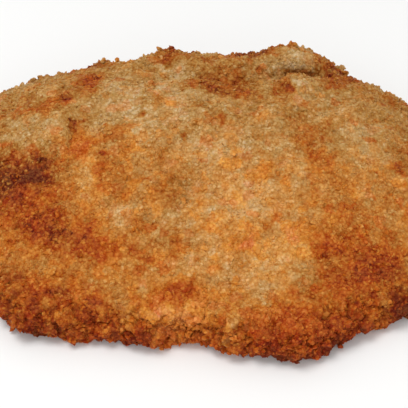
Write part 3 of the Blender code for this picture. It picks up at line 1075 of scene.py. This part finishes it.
# Dry grains are dusted pale: partly real crumb dust, partly a painted sheen in place of glints of fat.
DUST_AND_SHEEN = linear(250, 190, 104)
DUST_AND_SHEEN_SHARE = 0.1
# Painted shade: the warm dark colour that crevices, dips, the crease and the underside are mixed
# towards.
CREVICE_SHADE = linear(110, 36, 6)
# Browner crumbs are drier, so they shine less.
ROUGHNESS = 0.42
BROWN_ROUGHNESS = 0.25


def browning_group():
    """Toast picks the colour, hue tints it from straw (0) over orange (1) to red (2), painted shade
    darkens it.

    A dry grain is dusted over with pale crumb, which also serves as a painted sheen, and one soaked
    with fat is deeper in colour.
    """
    group, into, out = group_with(
        "browning",
        [("Toast", 0.3), ("Hue", 0.5), ("Redness", 0.0), ("Dryness and sheen", 0.5), ("Shade", 0.0)],
        [("Colour", "NodeSocketColor"), ("Roughness", "NodeSocketFloat")],
    )
    toast, hue = into.outputs["Toast"], into.outputs["Hue"]
    ramp = group.nodes.new("ShaderNodeValToRGB")
    while len(ramp.color_ramp.elements) < len(BROWNING):
        ramp.color_ramp.elements.new(0.5)
    for element, (position, colour) in zip(ramp.color_ramp.elements, BROWNING):
        element.position = position
        element.color = colour
    group.links.new(toast, ramp.inputs[0])
    redness = math_node(group, "SUBTRACT", hue, 1.0, clamp=True)
    redness = math_node(group, "ADD", redness, into.outputs["Redness"], clamp=True)
    tint = mixed(group, hue, STRAW_TINT, ORANGE_TINT)
    tint = mixed(group, redness, tint, RED_TINT)
    colour = mixed(group, 1.0, ramp.outputs[0], tint, "MULTIPLY")
    soaked = mixed(group, 1.0, colour, SOAKED_TINT, "MULTIPLY")
    dust_and_sheen_mix = mixed(group, DUST_AND_SHEEN_SHARE, colour, DUST_AND_SHEEN)
    colour = mixed(group, into.outputs["Dryness and sheen"], soaked, dust_and_sheen_mix)
    colour = mixed(group, into.outputs["Shade"], colour, CREVICE_SHADE)
    group.links.new(colour, out.inputs["Colour"])
    roughness = weighted_sum(group, ROUGHNESS, (toast, BROWN_ROUGHNESS))
    group.links.new(roughness, out.inputs["Roughness"])
    return group


browning = browning_group()
print("group", browning.name, "with", len(browning.nodes), "nodes")


# %% [markdown]
# ## Flakes and grains
#
# The crumbs in a crust were torn from different slices, so one flake of breading is paler, redder
# or drier than the next, and within it every grain browned by itself. Cellular noise gives both: its
# cells are the flakes and the grains, and each cell comes with random numbers of its own. Painting
# them could give the same, but noise on positions runs on from crumb to crust without a seam.

# %% Cells and noise
def voronoi(tree, vector, scale, smoothness=0.0):
    """Cells around random centres: three random numbers for each, and the distance to the centre.

    With a smoothness, the numbers run into each other where two cells meet.
    """
    node = tree.nodes.new("ShaderNodeTexVoronoi")
    if smoothness:
        node.feature = "SMOOTH_F1"
        node.inputs["Smoothness"].default_value = smoothness
    node.inputs["Scale"].default_value = scale
    tree.links.new(vector, node.inputs["Vector"])
    split = tree.nodes.new("ShaderNodeSeparateColor")
    tree.links.new(node.outputs["Color"], split.inputs[0])
    return split.outputs, node.outputs["Distance"]


def above(tree, value, start, end):
    """0 below start and 1 above end, in a straight line between."""
    node = tree.nodes.new("ShaderNodeMapRange")
    node.inputs["From Min"].default_value = start
    node.inputs["From Max"].default_value = end
    tree.links.new(value, node.inputs["Value"])
    return node.outputs[0]


def pushed(tree, place, scale, amount):
    """Places pushed about by a colour noise of that scale, as the first step of a ragged pattern."""
    push = tree.nodes.new("ShaderNodeTexNoise")
    push.inputs["Scale"].default_value = scale
    push.inputs["Detail"].default_value = 1.0
    tree.links.new(place, push.inputs["Vector"])
    centred = tree.nodes.new("ShaderNodeVectorMath")
    centred.operation = "SUBTRACT"
    centred.inputs[1].default_value = (0.5, 0.5, 0.5)
    tree.links.new(push.outputs["Color"], centred.inputs[0])
    added = tree.nodes.new("ShaderNodeVectorMath")
    added.operation = "MULTIPLY_ADD"
    added.inputs[1].default_value = (amount, amount, amount)
    tree.links.new(centred.outputs[0], added.inputs[0])
    tree.links.new(place, added.inputs[2])
    return added.outputs[0]


# %% The flakes group
# One over each scale is a cell's size in metres: flakes of 3 mm, grains of just under 1 mm.
FLAKE_SCALE = 330.0
FLAKE_SMOOTHNESS = 0.35
GRAIN_SCALE = 1150.0
# Painted shade between grains starts and ends at these distances from a grain's middle, in its own
# sizes.
GRAIN_SHADE_RIM = (0.35, 0.8)
REDNESS = 0.42


def flakes_group():
    """Grains, each with its own browning, in flakes that browned alike.

    A flake's edge follows whole grains only roughly, because both are read at pushed places. Each
    shift is a weighted sum of the random numbers of the flake and the grain.
    """
    outputs = ("Toast shift", "Hue shift", "Redness", "Dryness and sheen", "Grain")
    group, into, out = group_with("flakes", [], [(name, "NodeSocketFloat") for name in outputs])
    group.interface.new_socket(name="Vector", in_out="INPUT", socket_type="NodeSocketVector")
    place = into.outputs["Vector"]
    torn = pushed(group, pushed(group, place, 260.0, 0.002), 1100.0, 0.0012)
    flake, _ = voronoi(group, torn, FLAKE_SCALE, FLAKE_SMOOTHNESS)
    grain, away = voronoi(group, pushed(group, place, 1500.0, 0.0005), GRAIN_SCALE)
    gap = above(group, away, *GRAIN_SHADE_RIM)
    # One flake in four leans to red. One grain in ten is pale, partly a paler crumb and partly a
    # painted glint; one in fifteen is brown.
    red = above(group, flake[2], 0.74, 1.0)
    pale = above(group, grain[1], 0.88, 0.92)
    brown = above(group, grain[2], 0.92, 0.95)

    # Between grains the colour is browner and, with less dryness, deeper: painted shade in the dips.
    toast = weighted_sum(group, -0.145, (flake[0], 0.12), (grain[0], 0.08), (gap, 0.12),
                         (red, 0.05), (pale, -0.14), (brown, 0.15))
    hue = weighted_sum(group, -0.2, (math_node(group, "MULTIPLY", flake[1], flake[1]), 0.65))
    redness = math_node(group, "MULTIPLY", red, REDNESS)
    dryness_and_sheen = weighted_sum(group, 1.12, (grain[0], -0.8), (flake[2], -0.3), (gap, -0.45),
                           (pale, 0.2), clamp=True)
    dome = weighted_sum(group, 1.0, (math_node(group, "MULTIPLY", away, away), -1.0))
    for name, socket in zip(outputs, (toast, hue, redness, dryness_and_sheen, dome)):
        group.links.new(socket, out.inputs[name])
    return group


flakes = flakes_group()
print("group", flakes.name, "with", len(flakes.nodes), "nodes")


# %% [markdown]
# ## Materials
#
# Fried breading is dull with a trace of fat, and a little light passes into it. The crust and the
# crumbs could share one material, but only the crust needs grain in its normal, because a crumb has
# real facets; and crumbs are calmer in colour, since each is a single piece of bread.

# %% Materials
# Light goes a little way into fat-soaked bread, red farthest, so its shadows are soft and warm.
LIGHT_DEPTH = 0.0003
LIGHT_DEPTHS_BY_COLOUR = (1.0, 0.75, 0.5)
SHEEN_OF_FAT = 0.1


def value_of(tree, name):
    """A value that the mesh carries at each point."""
    node = tree.nodes.new("ShaderNodeAttribute")
    node.attribute_name = name
    return node.outputs["Fac"]


def placed(tree, group):
    """A node that holds a group."""
    node = tree.nodes.new("ShaderNodeGroup")
    node.node_tree = group
    return node


def breaded(name, flake_share, shade_share, bump_height=0.0):
    """A fried breading: flakes shift the mesh's own browning, and grain may bend the normal."""
    material = bpy.data.materials.new(name)
    material.use_nodes = True
    tree = material.node_tree
    shader = tree.nodes["Principled BSDF"]
    shader.inputs["Specular IOR Level"].default_value = SHEEN_OF_FAT
    shader.inputs["Subsurface Weight"].default_value = 0.5
    shader.inputs["Subsurface Radius"].default_value = LIGHT_DEPTHS_BY_COLOUR
    shader.inputs["Subsurface Scale"].default_value = LIGHT_DEPTH
    coordinates = tree.nodes.new("ShaderNodeTexCoord")
    pattern, tint = placed(tree, flakes), placed(tree, browning)
    tree.links.new(coordinates.outputs["Object"], pattern.inputs["Vector"])
    shifts = {"Toast": "toast", "Hue": "hue"}
    for socket_name, value_name in shifts.items():
        shift_of_it = (pattern.outputs[socket_name + " shift"], flake_share)
        shifted = weighted_sum(tree, value_of(tree, value_name), shift_of_it)
        tree.links.new(shifted, tint.inputs[socket_name])
    for socket_name in ("Redness", "Dryness and sheen"):
        tree.links.new(pattern.outputs[socket_name], tint.inputs[socket_name])
    # Painted shade: a value on the mesh mixes the colour towards the dark crevice colour.
    shade = math_node(tree, "MULTIPLY", value_of(tree, "shade"), shade_share)
    tree.links.new(shade, tint.inputs["Shade"])
    tree.links.new(tint.outputs["Colour"], shader.inputs["Base Color"])
    tree.links.new(tint.outputs["Roughness"], shader.inputs["Roughness"])
    if bump_height:
        bump = tree.nodes.new("ShaderNodeBump")
        bump.inputs["Distance"].default_value = bump_height
        tree.links.new(pattern.outputs["Grain"], bump.inputs["Height"])
        tree.links.new(bump.outputs[0], shader.inputs["Normal"])
    return material


crust_material = breaded("breading", 1.0, 0.7, bump_height=0.00035)
crumb_material = breaded("dry_crumb", 0.8, 0.5)

PIECES = {crust_piece: crust_material}
PIECES.update({piece: crumb_material for piece in crumb_pieces})
for piece, material in PIECES.items():
    piece.data.materials.append(material)
    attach(piece, "root")
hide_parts("schnitzel")
print(len(PIECES), "pieces:", ", ".join(piece.name for piece in PIECES))


# %% [markdown]
# ## The table, the light and the camera
#
# A pale floor under a soft light from overhead, a little to the left, and a weak one from the front,
# with a bright even surrounding that fills the shadows, as in a product studio. One bare lamp would
# be simpler, but its hard shadows would hide the grain. The camera looks down on the schnitzel from
# the front through a long lens, so near enough that both ends run out of the picture.

# %% Floor, light and camera
SURROUND = 0.71
FLOOR_COLOUR = (0.88, 0.88, 0.87, 1.0)
FLOOR_WIDTH = 12.0
# Each light: its place, its width and its power.
LIGHTS = {
    "key_light": ((-0.2, -0.05, 0.8), 0.4, 3.0),
    "fill_light": ((0.05, -0.6, 0.2), 0.36, 0.75),
}
CAMERA_ELEVATION = math.radians(43.0)
CAMERA_DISTANCE = 0.38
CAMERA_TARGET = np.array([-0.001, -0.0106, 0.012])
LENS = 114.0


def pale_floor():
    """A wide flat square, a hair under the crumbs."""
    bpy.ops.mesh.primitive_plane_add(size=FLOOR_WIDTH, location=(0.0, 0.0, -0.00005))
    floor = bpy.context.object
    floor.name = "floor"
    material = bpy.data.materials.new("pale_floor")
    material.use_nodes = True
    shader = material.node_tree.nodes["Principled BSDF"]
    shader.inputs["Base Color"].default_value = FLOOR_COLOUR
    shader.inputs["Roughness"].default_value = 0.9
    floor.data.materials.append(material)


def soft_light(name, place, width, power):
    """A square area light at a place that faces the origin and that the camera doesn't see."""
    light = bpy.data.lights.new(name, "AREA")
    light.size = width
    light.energy = power
    lamp = bpy.data.objects.new(name, light)
    lamp.location = place
    lamp.visible_camera = False
    toward = -np.array(place)
    lamp.rotation_euler = (math.acos(-toward[2] / np.linalg.norm(toward)), 0.0,
                           math.atan2(toward[1], toward[0]) - math.pi / 2.0)
    bpy.context.scene.collection.objects.link(lamp)


pale_floor()
for name, (place, width, power) in LIGHTS.items():
    soft_light(name, place, width, power)
world = bpy.data.worlds.new("surround")
world.use_nodes = True
background = world.node_tree.nodes["Background"]
background.inputs["Color"].default_value = (1.0, 1.0, 1.0, 1.0)
background.inputs["Strength"].default_value = SURROUND
bpy.context.scene.world = world
bpy.context.scene.view_settings.view_transform = "Standard"

camera = bpy.data.objects.new("camera", bpy.data.cameras.new("camera"))
camera.data.lens = LENS
camera.data.clip_start = 0.01
camera.location = CAMERA_TARGET + CAMERA_DISTANCE * np.array(
    [0.0, -math.cos(CAMERA_ELEVATION), math.sin(CAMERA_ELEVATION)])
camera.rotation_euler = (math.pi / 2.0 - CAMERA_ELEVATION, 0.0, 0.0)
bpy.context.scene.collection.objects.link(camera)
bpy.context.scene.camera = camera
print("camera at", np.array(camera.location).round(3), "with", len(LIGHTS), "lights")
